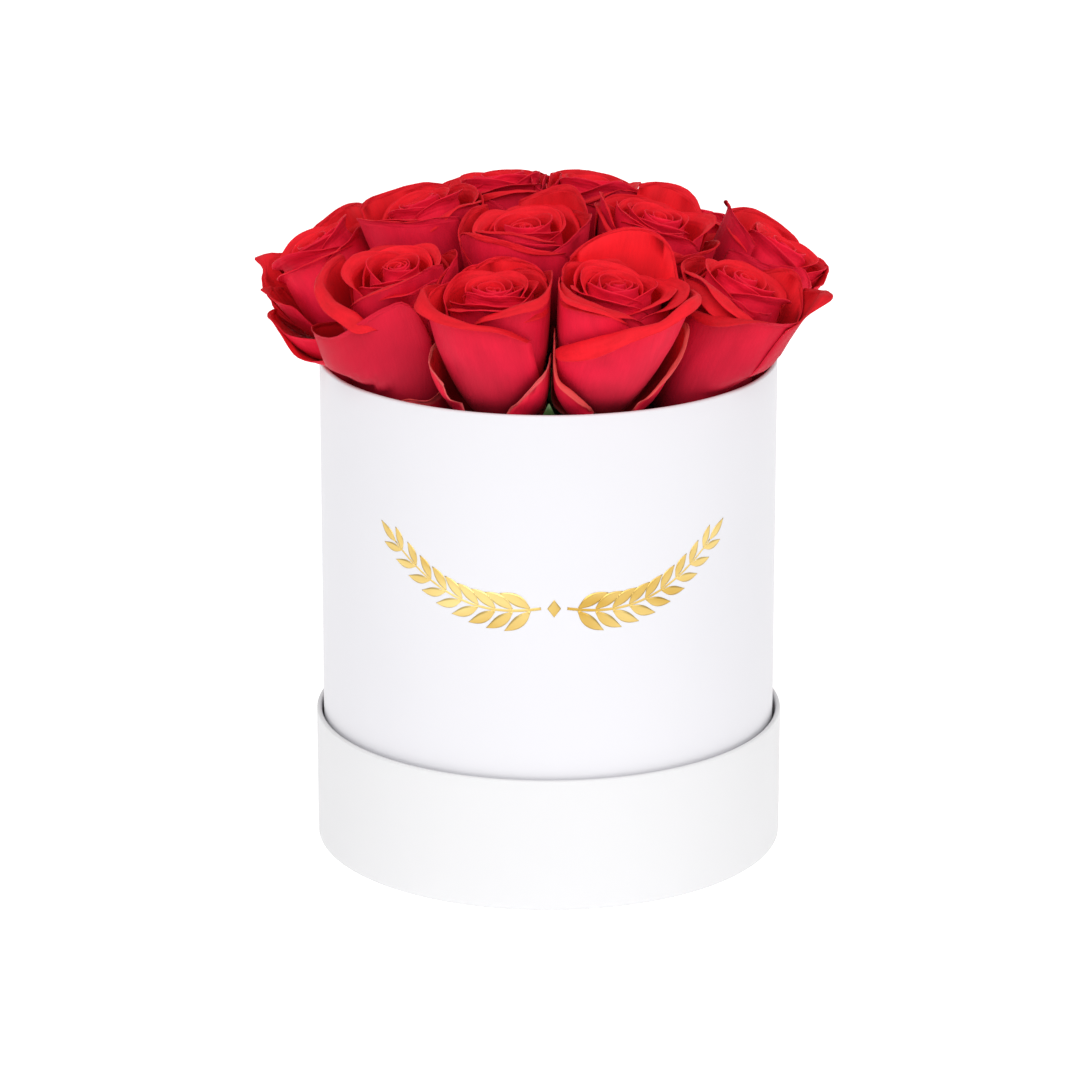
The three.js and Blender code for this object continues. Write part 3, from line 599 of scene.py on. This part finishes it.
class Nodes:
    """A material's node tree, with a short way to add and join nodes."""

    def __init__(self, name):
        self.material = bpy.data.materials.new(name)
        self.material.use_nodes = True
        self.tree = self.material.node_tree
        self.shader = self.tree.nodes["Principled BSDF"]

    def add(self, kind, **inputs):
        """Adds a node. An input's name has _ for a space, and a value, a socket or a number for it."""
        settings = inputs.pop("settings", {})
        node = self.tree.nodes.new("ShaderNode" + kind)
        for name, value in settings.items():
            setattr(node, name, value)
        for name, value in inputs.items():
            self.join(node, name.replace("_", " "), value)
        return node

    def join(self, node, name, value):
        socket = node.inputs[int(name[1:])] if name[0] == "i" and name[1:].isdigit() else node.inputs[name]
        if isinstance(value, bpy.types.NodeSocket):
            self.tree.links.new(value, socket)
        else:
            socket.default_value = value

    def place(self):
        """Where each point lies in the piece's own space."""
        return self.add("TexCoord").outputs["Object"]

    def math(self, operation, first, second):
        return self.add("Math", i0=first, i1=second, settings={"operation": operation}).outputs[0]

    def mix(self, factor, first, second, blend="MIX"):
        node = self.tree.nodes.new("ShaderNodeMix")
        node.data_type = "RGBA"
        node.blend_type = blend
        self.join(node, "i0", factor)
        self.join(node, "i6", first)
        self.join(node, "i7", second)
        return node.outputs[2]

    def ramp(self, factor, *stops):
        """A colour ramp through (place, (r, g, b)) stops."""
        node = self.add("ValToRGB", Fac=factor)
        points = node.color_ramp.elements
        while len(points) < len(stops):
            points.new(0.5)
        for point, (place, colour) in zip(points, stops):
            point.position = place
            point.color = (*colour, 1)
        return node.outputs["Color"]

    def noise(self, vector, scale, detail=2.0, roughness=0.5):
        node = self.add("TexNoise", Vector=vector, Scale=scale, Detail=detail, Roughness=roughness)
        return node.outputs["Fac"]

    def stretched(self, vector, *scale):
        return self.add("Mapping", Vector=vector, Scale=scale).outputs["Vector"]

    def bump(self, height, strength, distance, normal=None):
        node = self.add("Bump", Height=height, Strength=strength, Distance=distance)
        if normal is not None:
            self.join(node, "Normal", normal)
        return node.outputs["Normal"]

    def set(self, **inputs):
        for name, value in inputs.items():
            self.join(self.shader, name.replace("_", " "), value)


def grey(value):
    return (value, value, value)


def petal_material():
    n = Nodes("petal_velvet")
    petal = n.add("Attribute", settings={"attribute_name": "petal"})
    parts = n.add("SeparateColor", Color=petal.outputs["Color"])
    along, side, tone_and_painted_light = parts.outputs
    pale = petal.outputs["Alpha"]
    grain = n.add("Attribute", settings={"attribute_name": "grain"}).outputs["Vector"]
    # Painted shade and light along each face: dark towards the petal's foot, deep in the head, and lightest
    # near the crest and lip
    outside = n.ramp(along, (0.0, (0.12, 0.05, 0.02)), (0.12, (0.34, 0.010, 0.025)),
                     (0.35, (0.62, 0.008, 0.036)), (0.5, (0.70, 0.009, 0.036)))
    inside = n.ramp(along, (0.0, (0.16, 0.003, 0.005)), (0.3, (0.42, 0.006, 0.012)),
                    (0.45, (0.76, 0.010, 0.018)), (0.65, (0.66, 0.009, 0.018)))
    colour = n.mix(side, outside, inside)
    veins = n.noise(n.stretched(grain, 0.9, 0.05, 1), 1.0, 3.0, 0.6)
    colour = n.mix(1.0, colour, n.ramp(veins, (0.3, grey(0.96)), (0.7, grey(1.03))), "MULTIPLY")
    mottle = n.noise(n.stretched(grain, 0.12, 0.07, 1), 1.0, 2.0)
    colour = n.mix(1.0, colour, n.ramp(mottle, (0.3, grey(0.88)), (0.7, grey(1.08))), "MULTIPLY")
    # Painted light and shade: the tone attribute brightens the bud's inner petals and some front walls, and
    # darkens some side walls
    colour = n.mix(1.0, colour, n.ramp(tone_and_painted_light, (0.0, grey(0.72)), (1.0, grey(1.22))), "MULTIPLY")
    colour = n.mix(n.math("MULTIPLY", pale, 0.5), colour, (0.62, 0.22, 0.19, 1))
    n.set(Base_Color=colour, Roughness=0.6, Specular_IOR_Level=0.1, Sheen_Weight=0.03, Sheen_Roughness=0.45,
          Sheen_Tint=(1.0, 0.25, 0.3, 1))
    fine = n.noise(n.stretched(grain, 2.4, 0.3, 1), 1.0, 2.0)
    n.set(Normal=n.bump(fine, 0.2, 0.0003, n.bump(veins, 0.25, 0.0006)))
    return n.material


def paper_material(name, tint):
    n = Nodes(name)
    place = n.place()
    mottle = n.noise(place, 14.0, 3.0)
    low, high = [tuple(c * k for c in tint) for k in (0.985, 1.0)]
    n.set(Base_Color=n.ramp(mottle, (0.3, low), (0.7, high)), Roughness=0.38, Specular_IOR_Level=0.45)
    fibre = n.noise(n.stretched(place, 900, 900, 500), 1.0, 3.0)
    wave = n.noise(place, 22.0, 1.0)
    n.set(Normal=n.bump(fibre, 0.05, 0.0002, n.bump(wave, 0.08, 0.002)))
    return n.material


def board_material():
    n = Nodes("grey_board")
    place = n.place()
    speck = n.noise(place, 420.0, 4.0)
    n.set(Base_Color=n.ramp(speck, (0.35, (0.62, 0.60, 0.57)), (0.65, (0.76, 0.75, 0.72))), Roughness=0.85)
    n.set(Normal=n.bump(speck, 0.2, 0.0004))
    return n.material


def foam_material():
    n = Nodes("wet_foam")
    place = n.place()
    cells = n.add("TexVoronoi", Vector=place, Scale=900.0).outputs["Distance"]
    crumbs = n.noise(place, 300.0, 4.0)
    n.set(Base_Color=n.ramp(crumbs, (0.3, (0.018, 0.06, 0.03)), (0.7, (0.04, 0.13, 0.06))), Roughness=0.95)
    n.set(Normal=n.bump(cells, 0.6, 0.0006, n.bump(crumbs, 0.5, 0.001)))
    return n.material


def film_material():
    n = Nodes("liner_film")
    place = n.place()
    wrinkle = n.noise(n.stretched(place, 60, 60, 20), 1.0, 2.0)
    cloud = n.ramp(wrinkle, (0.3, (0.80, 0.84, 0.86)), (0.7, (0.90, 0.93, 0.94)))
    n.set(Base_Color=cloud, Roughness=0.16, Alpha=0.45)
    n.set(Normal=n.bump(wrinkle, 0.5, 0.003))
    return n.material


def stem_material():
    n = Nodes("stem_green")
    place = n.place()
    streak = n.noise(n.stretched(place, 900, 900, 60), 1.0, 3.0)
    blotch = n.noise(place, 60.0, 2.0)
    colour = n.ramp(streak, (0.3, (0.020, 0.075, 0.018)), (0.7, (0.05, 0.15, 0.035)))
    colour = n.mix(n.math("MULTIPLY", blotch, 0.4), colour, (0.10, 0.085, 0.03, 1))
    n.set(Base_Color=colour, Roughness=0.5, Normal=n.bump(streak, 0.3, 0.0005))
    return n.material


def foil_material():
    n = Nodes("gold_foil")
    place = n.place()
    sweep = n.noise(n.stretched(place, 30, 1, 60), 1.0, 2.0)
    n.set(Base_Color=n.ramp(sweep, (0.3, (0.58, 0.36, 0.075)), (0.7, (0.84, 0.66, 0.27))), Metallic=1.0)
    n.set(Roughness=0.3, Normal=n.bump(n.noise(place, 2500.0), 0.06, 0.0001))
    return n.material


def floor_material():
    n = Nodes("floor_pale")
    place = n.place()
    n.set(Base_Color=n.ramp(n.noise(place, 3.0), (0.0, grey(0.90)), (1.0, grey(0.92))), Roughness=0.6)
    n.set(Emission_Color=(1, 1, 1, 1), Emission_Strength=0.4)
    return n.material


# Roses

# Points across a petal, and the strides along its side and its lip. Petals from FINE_FROM on are fine.
FINE_FROM = 12
FINE = (25, 2, 1)
COARSE = (17, 3, 2)
RIPPLE_DEPTH = 0.28
GRAIN_SHIFT = 40
GRAIN_APART = 60

# Ripples in a petal's face: height, rate across and along, and how often the petal's shift counts
RIPPLES = ((0.5, 0.42, 0.11, 1), (0.3, 0.9, -0.16, 2), (0.2, 0.2, 0.5, 3))


def petal_piece(builder, head, i):
    petal = petal_measures(head, i)
    columns, wall_stride, lip_stride = FINE if i >= FINE_FROM else COARSE
    us = np.linspace(-1, 1, columns)
    grid, v = petal_grid(head, petal, us, wall_stride, lip_stride)
    grid = head.place(grid, head.petals - 1 - i, petal["press"])
    u, v = [array.ravel() for array in np.meshgrid(us, v, indexing="ij")]
    x = u * petal["half"]
    y = v * GRAIN_LENGTH
    shift = GRAIN_SHIFT * petal["chance"]
    ripple = sum(high * np.sin(across * x + along * y + turns * shift)
                 for high, across, along, turns in RIPPLES)
    ripple = ripple * smooth((v - 0.3) / 0.5)
    grid = grid + surface_normals(grid) * (RIPPLE_DEPTH * ripple).reshape(grid.shape[:2])[..., None]
    grain = np.stack([x + GRAIN_APART * shift, y, 0 * x + shift], axis=-1)
    pale = petal["pale"] * np.maximum(smooth((v - 0.95) / 0.2), smooth((np.abs(u) - 0.9) / 0.1))

    def values(side):
        ones = np.ones_like(v)
        # The third channel is the tone, with its painted light and shade
        return {"petal": np.stack([v / 2, side * ones, petal["tone_and_painted_light"] * ones, pale], axis=-1), "grain": grain}

    builder.sheet(grid, PETAL_THICK, values)


def rose(head, material):
    builder = MeshBuilder()
    for i in range(head.petals):
        petal_piece(builder, head, i)
    piece = builder.build("bloom_" + head.name, material)
    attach(piece, "root")
    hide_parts("rose_" + head.name)


# Stems

STEM_R = 2.6
STEM_END_Z = 84
BEND_DROP = 20
STEM_LEAN_SHARE = 0.4
STEM_GAP = 1.3
STEM_SIDES = 16
END_SHARE = 0.96
BEND_REACH = 7
SEPALS = 5
SEPAL_HALF = 3.0
LEAF_THICK = 0.35
LEAF_HALF = 8.5
LEAF_DROP = 12
LEAF_TOP_Z = 190
LEAF_TOP_Z_BESIDE = {"b": 201}

# The hip's places along the head's axis with its radii, and the sepal's line, across and along
HIP = ((-9.5, 2.8), (-7.6, 3.5), (-6, 4.6), (-4.5, 5.15), (-3, 5.2), (-1.6, 4.9), (-0.5, 4.4), (0, 4.1))
SEPAL_LINE = ((4.4, -3.0), (8.6, -2.6), (11.5, -4.6), (13.6, -8.5), (14.2, -13.0))


def rings(builder, grid):
    """A closed body of rings of points from the bottom up, with a fan to the middle at each end."""
    count, sides = grid.shape[:2]
    index = np.arange(count * sides).reshape(count, sides)
    beside = np.roll(index, -1, axis=1)
    walls = np.stack([index[:-1], beside[:-1], beside[1:], index[1:]], axis=-1).reshape(-1, 4)
    low = np.full(sides, count * sides)
    high = low + 1
    bottom = np.stack([low, beside[0], index[0]], axis=-1)
    top = np.stack([high, index[-1], beside[-1]], axis=-1)
    vertices = np.concatenate([grid.reshape(-1, 3), [grid[0].mean(axis=0), grid[-1].mean(axis=0)]])
    builder.add(vertices, walls, bottom, top)


def tube(builder, centres, radii, across):
    """A round rod about a line of centres, with a radius at each."""
    tangents = np.gradient(centres, axis=0)
    angles = 2 * math.pi * np.arange(STEM_SIDES) / STEM_SIDES
    grid = []
    for centre, tangent, radius in zip(centres, tangents, radii):
        back = unit(np.cross(tangent, across))
        side = unit(np.cross(back, tangent))
        grid.append(centre + radius * (np.outer(np.cos(angles), side) + np.outer(np.sin(angles), back)))
    rings(builder, np.array(grid))


def leaf_sheet(builder, line, side, half_width, thick, cup):
    """A pointed leaf along a line of points. side is across it, and cup is how far its edges rise."""
    count = len(line)
    tangents = np.gradient(line, axis=0)
    us = np.linspace(-1, 1, 7)
    place = np.linspace(0, 1, count)
    width = half_width * np.sin(math.pi * np.clip(0.06 + 0.93 * place, 0, 1) ** 0.8)
    grid = []
    for u in us:
        rows = [line[k] + side * u * width[k] + unit(np.cross(tangents[k], side)) * cup * u * u * width[k]
                for k in range(count)]
        grid.append(rows)
    builder.sheet(np.array(grid), thick, lambda _: {})


def bezier(points, count):
    """A smooth line through the control points' Bezier curve."""
    t = np.linspace(0, 1, count)[:, None]
    rows = [np.array(point)[None] * np.ones_like(t) for point in points]
    while len(rows) > 1:
        rows = [a * (1 - t) + b * t for a, b in zip(rows, rows[1:])]
    return rows[0]


def stem(head, heads, material):
    """A cut stem with its hip and sepals under a head, and a leaf beside it in the outer ring."""
    builder = MeshBuilder()
    top = head.foot - head.axis * STEM_GAP
    bend = top - head.axis * BEND_DROP
    lean = math.radians(head.lean * STEM_LEAN_SHARE)
    run = head.toward * math.sin(lean) + UP * math.cos(lean)
    end = bend - run * (bend[2] - STEM_END_Z) / run[2]
    low = np.linspace(end, bend - run * (BEND_REACH + 1), 14)
    turn = bezier([bend - run * BEND_REACH, bend, bend + head.axis * BEND_REACH], 7)
    neck = np.array([top + head.axis * drop for drop, _ in HIP])
    centres = np.concatenate([low, turn, neck])
    radii = [STEM_R] * (len(low) + len(turn)) + [radius for _, radius in HIP]
    radii[0] = STEM_R * END_SHARE
    tube(builder, centres, radii, head.across)
    for k in range(SEPALS):
        angle = (k + 0.5) * 2 * math.pi / SEPALS
        out = head.across * math.cos(angle) + head.back * math.sin(angle)
        line = bezier([top + out * away + head.axis * drop for away, drop in SEPAL_LINE], 11)
        leaf_sheet(builder, line, np.cross(head.axis, out), SEPAL_HALF, LEAF_THICK, 0.25)
    if head.in_ring:
        ring = sorted((other.azimuth - head.azimuth) % 360 for other in heads if other.in_ring)
        gap = outward(head.azimuth + ring[1] / 2)
        root = bend - run * LEAF_DROP
        tip_z = LEAF_TOP_Z_BESIDE.get(head.name, LEAF_TOP_Z)
        points = [root, gap * 70 + UP * 170, gap * 81 + UP * 186, gap * 84 + UP * tip_z]
        leaf_sheet(builder, bezier(points, 15), np.cross(UP, gap), LEAF_HALF, LEAF_THICK, -0.2)
    piece = builder.build("stalk_" + head.name, material)
    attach(piece, "root")
    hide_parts("stem_" + head.name)


# Box and lid

SEAM_AZIMUTH = 172
SEAM_WIDTH = 15
SEAM_STEP = 0.22
EDGE_ROUND = 0.5
LID_ROUND = 1.1
TUBE_PHASE = 1.0
LID_PHASE = 2.3
LID_CENTRE_R = 4
CREASE_ANGLE = 40
TUBE_MARGIN = 8
LID_MARGIN = 6
PAPER_TURN_IN = 14
PAPER_END = 14.2
PAPER_EDGE = 0.15
LID_TURN_IN = 12

# The board's slight waves: how far each stands out, and how many go round
BOARD_WAVES = ((0.10, 3), (0.06, 5))


def arc(centre, radius, start, end, steps=6):
    angles = np.radians(np.linspace(start, end, steps + 1))
    return [(centre[0] + radius * math.cos(a), centre[1] + radius * math.sin(a)) for a in angles]


def wall_angles():
    """Azimuths round the wall in degrees, with close pairs at the paper's overlap."""
    seam = np.degrees(SEAM_WIDTH / TUBE_R)
    extra = [SEAM_AZIMUTH - 0.1, SEAM_AZIMUTH + 0.1, SEAM_AZIMUTH + seam - 1, SEAM_AZIMUTH + seam + 1]
    return np.unique(np.concatenate([np.arange(ROUND_SIDES) * 360 / ROUND_SIDES, extra]))


def paper_lift(azimuth, phase):
    """How far the papered wall stands out: the overlap at the back and the board's slight waves."""
    seam = np.degrees(SEAM_WIDTH / TUBE_R)
    past = (azimuth - SEAM_AZIMUTH) % 360
    on = np.where(past < seam + 1, 1.0, 0.0) * (1 - smooth((past - seam + 1) / 2))
    angle = np.radians(azimuth)
    lift = SEAM_STEP * on
    for k, (high, count) in enumerate(BOARD_WAVES):
        lift = lift + high * np.sin(count * angle + (k + 1) * phase)
    return lift


def turned(builder, profile, phase, closed):
    """A body of revolution about Z through (radius, height) points, with the papered wall's waves."""
    azimuths = wall_angles()
    lift = paper_lift(azimuths, phase)
    out = np.array([outward(azimuth) for azimuth in azimuths])
    grid = []
    for radius, height in profile:
        share = smooth((radius - 0.5 * TUBE_R) / (0.45 * TUBE_R))
        grid.append(out * (radius + lift * share)[:, None] + UP * height)
    if closed:
        grid = np.array(grid)
        count, sides = grid.shape[:2]
        index = np.arange(count * sides).reshape(count, sides)
        over = np.roll(index, -1, axis=0)
        faces = np.stack([index, np.roll(index, -1, axis=1), np.roll(over, -1, axis=1), over], axis=-1)
        builder.add(grid.reshape(-1, 3), faces.reshape(-1, 4))
    else:
        rings(builder, np.array(grid))


def box_tube(material):
    low, inside = TUBE_LOW[2], TUBE_R - BOARD
    middle = TUBE_R - BOARD / 2
    profile = [(inside, low), *arc((TUBE_R - EDGE_ROUND, low + EDGE_ROUND), EDGE_ROUND, -90, 0, 3)]
    profile += [(TUBE_R, height) for height in np.linspace(low + TUBE_MARGIN, RIM_Z - TUBE_MARGIN, 9)]
    profile += arc((middle, RIM_Z - BOARD / 2), BOARD / 2, 0, 180, 12)
    profile += [(inside, RIM_Z - PAPER_TURN_IN), (inside + PAPER_EDGE, RIM_Z - PAPER_END)]
    builder = MeshBuilder()
    turned(builder, profile, TUBE_PHASE, True)
    piece = builder.build("paper_tube", material, CREASE_ANGLE)
    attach(piece, "root")
    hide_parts("box_tube")


def lid(material):
    inside = LID_R - BOARD
    middle = LID_R - BOARD / 2
    profile = [(LID_CENTRE_R, 0.0), (0.6 * LID_R, 0.0)]
    profile += arc((LID_R - LID_ROUND, LID_ROUND), LID_ROUND, -90, 0)
    profile += [(LID_R, height) for height in np.linspace(LID_MARGIN, LID_HEIGHT - LID_MARGIN, 5)]
    profile += arc((middle, LID_HEIGHT - BOARD / 2), BOARD / 2, 0, 180, 12)
    profile += [(inside, LID_HEIGHT - LID_TURN_IN), (inside, BOARD), (LID_CENTRE_R, BOARD)]
    builder = MeshBuilder()
    turned(builder, profile, LID_PHASE, False)
    piece = builder.build("paper_lid", material, CREASE_ANGLE)
    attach(piece, "root")
    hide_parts("lid_band", "lid_disc")


# Foil ornament: two mirrored leafy sprigs that meet at a lozenge

ORNAMENT_Z = 129
ORNAMENT_X = 2
SPRIG_REACH = 66
SPRIG_START = 5
SPRIG_Z = -7
FOIL_THICK = 0.1
LEAF_PAIRS = 9
LEAF_POINTS = 11
LEAF_SIZE = 13.5
LEAF_TAPER = 4.5
LEAF_TURN = 44
LEAF_TURN_LOSS = 10
LEAF_BEND = 20
LOZENGE_HALF = 2.6
LOZENGE_HEIGHT = 7


def on_wall(points):
    """Flat (x, z) points of the ornament, wrapped on the tube's front."""
    x = points[..., 0] + ORNAMENT_X
    azimuth = np.degrees(x / TUBE_R)
    lift = paper_lift(azimuth, TUBE_PHASE)
    radius = TUBE_R + lift + FOIL_THICK * 0.5
    angle = np.radians(azimuth)
    return np.stack([radius * np.sin(angle), -radius * np.cos(angle), points[..., 1] + ORNAMENT_Z], axis=-1)


def foil_strip(builder, line, widths):
    """A strip of foil along a flat line, with its half width at each point."""
    tangents = np.gradient(line, axis=0)
    sides = np.stack([-tangents[:, 1], tangents[:, 0]], axis=-1)
    sides /= np.linalg.norm(sides, axis=1, keepdims=True)
    us = np.array([-1.0, -0.5, 0.0, 0.5, 1.0])
    grid = np.array([line + sides * u * widths[:, None] for u in us])
    builder.sheet(on_wall(grid)[::-1], FOIL_THICK, lambda _: {})


def foil_leaf(builder, points, half_width, flip):
    """A leaf of foil along the curve of its control points, pointed at both ends."""
    s = np.linspace(0, 1, LEAF_POINTS)
    widths = half_width * np.sin(math.pi * np.clip(s, 0.03, 0.985) ** 0.85)
    foil_strip(builder, bezier(points, LEAF_POINTS) * flip, widths)


def sprig(builder, mirror):
    flip = np.array([mirror, 1.0])
    t = np.linspace(0, 1, 49)
    reach = SPRIG_START + (SPRIG_REACH - SPRIG_START) * t
    line = np.stack([reach, SPRIG_Z - 3 * np.sin(math.pi * t) + 20 * t**2.2], axis=-1)
    foil_strip(builder, (line * flip)[:: int(mirror)], 0.55 - 0.25 * t[:: int(mirror)])
    for k in range(LEAF_PAIRS):
        place = 0.06 + 0.88 * k / (LEAF_PAIRS - 1)
        spot = np.array([np.interp(place, t, line[:, 0]), np.interp(place, t, line[:, 1])])
        ahead = np.array([np.interp(place + 0.02, t, line[:, 0]), np.interp(place + 0.02, t, line[:, 1])])
        bearing = math.atan2(*(ahead - spot)[::-1])
        size = LEAF_SIZE - LEAF_TAPER * place
        for side in (-1, 1):
            turn = bearing + side * math.radians(LEAF_TURN - LEAF_TURN_LOSS * place)
            bend = bearing + side * math.radians(LEAF_BEND)
            out = np.array([math.cos(turn), math.sin(turn)])
            ahead_out = np.array([math.cos(bend), math.sin(bend)])
            knee = spot + out * size * 0.6
            foil_leaf(builder, [spot + out * 0.8, knee, knee + ahead_out * size * 0.45], 0.17 * size, flip)
    foil_leaf(builder, [line[-1], line[-1] + [4, 3], line[-1] + [7.5, 7]], 1.6, flip)


def ornament(material):
    builder = MeshBuilder()
    for mirror in (-1.0, 1.0):
        sprig(builder, mirror)
    s = np.linspace(0, 1, 9)
    line = np.stack([0 * s, SPRIG_Z + LOZENGE_HEIGHT * (s - 0.5)], axis=-1)
    foil_strip(builder, line, LOZENGE_HALF * np.minimum(s, 1 - s) * 2 + 0.02)
    piece = builder.build("foil_sprigs", material)
    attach(piece, "root")


# Stage, light and camera

CAMERA_DISTANCE = 1.9
CAMERA_ELEVATION = 17.27
CAMERA_LENS = 159.26
CAMERA_TARGET = Vector((-0.00338, 0, 0.1213))
SENSOR_WIDTH = 36
FLOOR_REACH = 6.0
FLOOR_Z = -0.00005
SUN_WIDTH = 45
WORLD_STRENGTH = 0.66


def floor():
    mesh = bpy.data.meshes.new("floor")
    corners = [(x * FLOOR_REACH, y * FLOOR_REACH, FLOOR_Z) for x, y in ((-1, -1), (1, -1), (1, 1), (-1, 1))]
    mesh.from_pydata(corners, [], [(0, 1, 2, 3)])
    mesh.materials.append(floor_material())
    piece = bpy.data.objects.new("floor", mesh)
    bpy.context.scene.collection.objects.link(piece)


def aim(thing, place, target):
    thing.location = place
    thing.rotation_mode = "QUATERNION"
    thing.rotation_quaternion = (Vector(target) - Vector(place)).to_track_quat("-Z", "Y")


def soft_sun(name, azimuth, elevation, strength):
    """A large soft light far away, from an azimuth round the front and an elevation, in degrees."""
    data = bpy.data.lights.new(name, "SUN")
    data.angle = math.radians(SUN_WIDTH)
    data.energy = strength
    light = bpy.data.objects.new(name, data)
    bpy.context.scene.collection.objects.link(light)
    rise = math.radians(elevation)
    place = outward(azimuth) * math.cos(rise) + UP * math.sin(rise)
    aim(light, place * 2, (0, 0, 0))


def studio():
    world = bpy.data.worlds.new("studio")
    bpy.context.scene.world = world
    world.use_nodes = True
    background = world.node_tree.nodes["Background"]
    background.inputs["Color"].default_value = (1, 1, 1, 1)
    background.inputs["Strength"].default_value = WORLD_STRENGTH
    soft_sun("key", -20, 38, 1.1)
    soft_sun("fill", 34, 36, 0.8)
    bpy.context.scene.view_settings.view_transform = "Standard"


def camera():
    data = bpy.data.cameras.new("camera")
    data.lens = CAMERA_LENS
    data.sensor_width = SENSOR_WIDTH
    view = bpy.data.objects.new("camera", data)
    bpy.context.scene.collection.objects.link(view)
    tilt = math.radians(CAMERA_ELEVATION)
    place = CAMERA_TARGET + Vector((0, -math.cos(tilt), math.sin(tilt))) * CAMERA_DISTANCE
    aim(view, place, CAMERA_TARGET)
    bpy.context.scene.camera = view


def dress_nodes():
    """The CAD nodes that stay get their finish."""
    finishes = {"box_floor": board_material(), "liner_cup": film_material(), "foam": foam_material()}
    for node, material in finishes.items():
        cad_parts[node].material_slots[0].material = material


floor()
studio()
camera()
dress_nodes()
body_paper = paper_material("paper_white", (0.67, 0.665, 0.695))
lid_paper = paper_material("paper_lid_white", (0.665, 0.665, 0.675))
box_tube(body_paper)
lid(lid_paper)
ornament(foil_material())
petal_velvet = petal_material()
stem_green = stem_material()
heads = [Head(dict(zip(ROSE_FIELDS, row)), index) for index, row in enumerate(ROSES)]
for head in heads:
    head.set_walls(heads)
for head in heads:
    rose(head, petal_velvet)
    stem(head, heads, stem_green)
